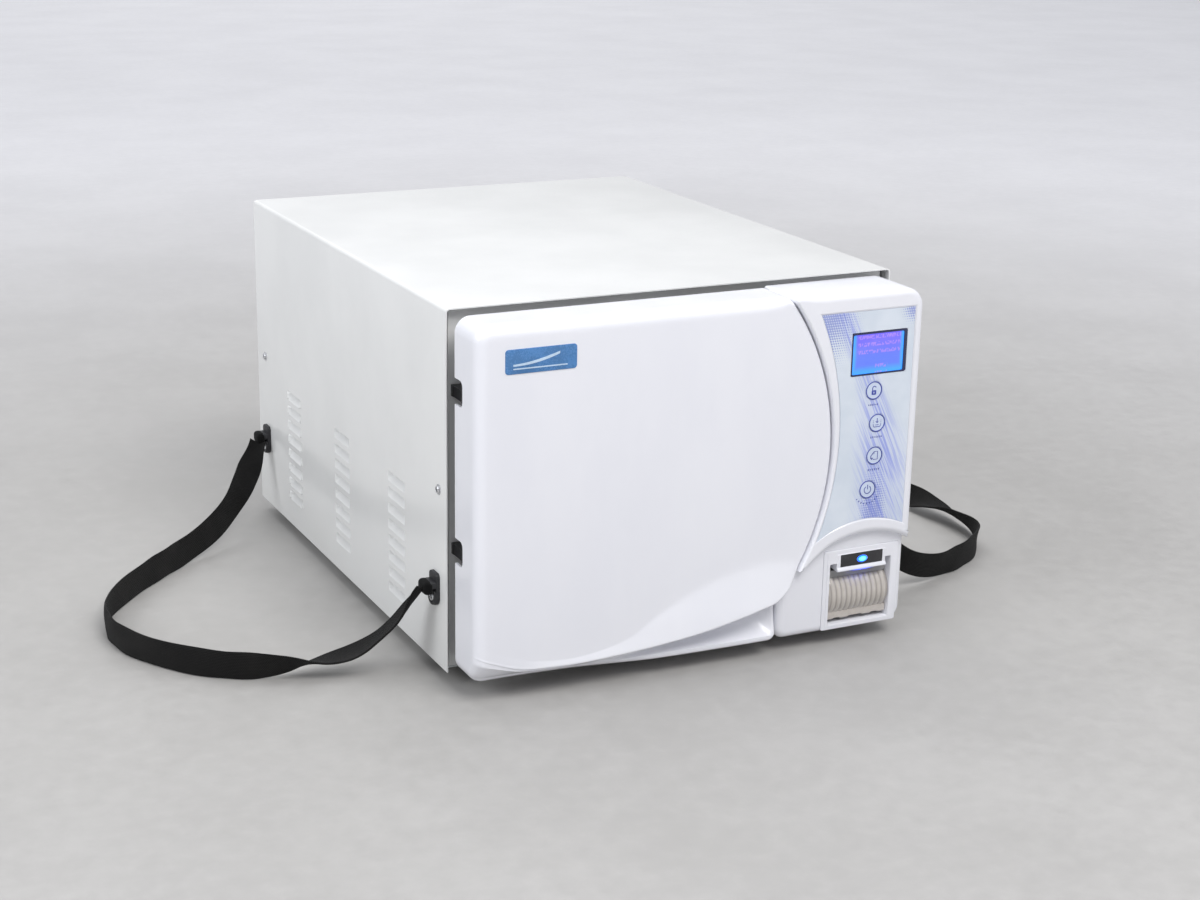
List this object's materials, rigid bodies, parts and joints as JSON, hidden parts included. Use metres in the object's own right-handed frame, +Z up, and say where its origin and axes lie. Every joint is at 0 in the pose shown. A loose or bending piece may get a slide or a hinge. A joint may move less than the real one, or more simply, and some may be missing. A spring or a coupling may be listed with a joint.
{
  "type": "benchtop autoclave",
  "caption": "Boxy benchtop steam autoclave: side-hinged front door over a tray chamber, curved keypad and printer panel, louvred case and two webbing lifting straps.",
  "frame": {"origin": "on the floor under the middle of the machine, straps left out", "axes": "+X to the machine's right as seen from the front, +Y to the rear, +Z up"},
  "size_m": [1.0357, 0.7, 0.386],
  "materials": {
    "white_powder_coat": "satin powder coat",
    "gloss_white_plastic": "gloss, very slightly cool",
    "stainless_steel": "satin",
    "galvanised_steel": "matt zinc",
    "black_painted_steel": "satin black paint",
    "aluminium": "as cast",
    "brass": "machined",
    "black_rubber": "matt",
    "silicone_seal": "soft satin",
    "black_plastic": "fine texture",
    "grey_plastic": "fine texture",
    "keypad_print": "printed film",
    "screen_glass": "clear over a blue backlight",
    "navy_bezel": "gloss",
    "smoky_plastic": "tinted, see-through",
    "blue_lamp": "lit",
    "thermal_paper": "paper",
    "circuit_board": "solder mask",
    "lagging_fibre": "needled glass fibre",
    "black_webbing": "woven",
    "tank_plastic": "natural polypropylene"
  },
  "bodies": {
    "case": {"outer_cover": "white_powder_coat", "base_pan": "galvanised_steel", "front_bulkhead": "white_powder_coat", "rear_panel": "white_powder_coat", "feet": "black_rubber", "cover_screws": "stainless_steel", "chamber": "stainless_steel", "heater_band": "aluminium", "chamber_lagging": "lagging_fibre", "tray_rack": "stainless_steel", "tray_lower": "stainless_steel", "tray_middle": "stainless_steel", "tray_upper": "stainless_steel", "clean_water_tank": "tank_plastic", "used_water_tank": "tank_plastic", "tank_ports": "brass", "air_filter": "grey_plastic", "steam_generator": "stainless_steel", "vacuum_pump": "aluminium", "condenser": "aluminium", "fan_housing": "black_plastic", "solenoid_valves": "brass", "safety_valve": "brass", "drain_spigot": "brass", "control_board": "circuit_board", "power_supply": "galvanised_steel", "power_inlet": "black_plastic", "switch_housing": "black_plastic", "hinge_brackets": "black_painted_steel", "hinge_pins": "stainless_steel", "lock_actuator": "galvanised_steel", "panel_housing": "gloss_white_plastic", "keypad_sheet": "keypad_print", "screen_bezel": "navy_bezel", "screen_window": "screen_glass", "display_board": "circuit_board", "printer_frame": "gloss_white_plastic", "printer_tub": "grey_plastic", "printer_head": "gloss_white_plastic", "printer_label": "black_plastic", "left_strap": "black_webbing", "right_strap": "black_webbing", "strap_brackets": "black_plastic", "strap_screws": "stainless_steel"},
    "door": {"door_cover": "gloss_white_plastic", "door_plate": "stainless_steel", "chamber_lid": "stainless_steel", "door_seal": "silicone_seal", "door_hinge_arms": "black_painted_steel", "lock_catch": "galvanised_steel"},
    "lock_bolt": {"lock_bolt": "stainless_steel"},
    "padlock_key": {"padlock_button": "keypad_print"},
    "arrow_key": {"arrow_button": "keypad_print"},
    "page_key": {"page_button": "keypad_print"},
    "power_key": {"power_button": "keypad_print"},
    "printer_key": {"printer_button": "blue_lamp"},
    "printer_lid": {"printer_cover": "smoky_plastic"},
    "paper": {"paper_roll": "thermal_paper"},
    "fan": {"fan_rotor": "black_plastic"},
    "mains_switch": {"mains_rocker": "black_plastic"}
  },
  "joints": [
    {"name": "door_swing", "type": "hinge", "parent": "case", "child": "door", "pos_m": [-0.236, -0.294, 0.205], "axis": [0, 0, -1], "range_deg": [0, 105]},
    {"name": "lock_bolt_slide", "type": "slide", "parent": "case", "child": "lock_bolt", "axis": [-1, 0, 0], "range_m": [0, 0.014]},
    {"name": "padlock_key_press", "type": "slide", "parent": "case", "child": "padlock_key", "axis": [0, 1, 0], "range_m": [0, 0.0008], "stiffness_N_per_m": 600},
    {"name": "arrow_key_press", "type": "slide", "parent": "case", "child": "arrow_key", "axis": [0, 1, 0], "range_m": [0, 0.0008], "stiffness_N_per_m": 600},
    {"name": "page_key_press", "type": "slide", "parent": "case", "child": "page_key", "axis": [0, 1, 0], "range_m": [0, 0.0008], "stiffness_N_per_m": 600},
    {"name": "power_key_press", "type": "slide", "parent": "case", "child": "power_key", "axis": [0, 1, 0], "range_m": [0, 0.0008], "stiffness_N_per_m": 600},
    {"name": "printer_key_press", "type": "slide", "parent": "case", "child": "printer_key", "axis": [0, 1, 0], "range_m": [0, 0.0008], "stiffness_N_per_m": 300},
    {"name": "printer_cover_hinge", "type": "hinge", "parent": "case", "child": "printer_lid", "pos_m": [0.193, -0.3285, 0.029], "axis": [1, 0, 0], "range_deg": [0, 80]},
    {"name": "paper_roll_spin", "type": "hinge", "parent": "case", "child": "paper", "pos_m": [0.193, -0.31, 0.052], "axis": [1, 0, 0], "continuous": true},
    {"name": "fan_spin", "type": "hinge", "parent": "case", "child": "fan", "pos_m": [-0.14, 0.31, 0.28], "axis": [0, 1, 0], "continuous": true},
    {"name": "mains_switch_rock", "type": "hinge", "parent": "case", "child": "mains_switch", "pos_m": [0.17, 0.319, 0.13], "axis": [1, 0, 0], "range_deg": [-16, 0]}
  ]
}
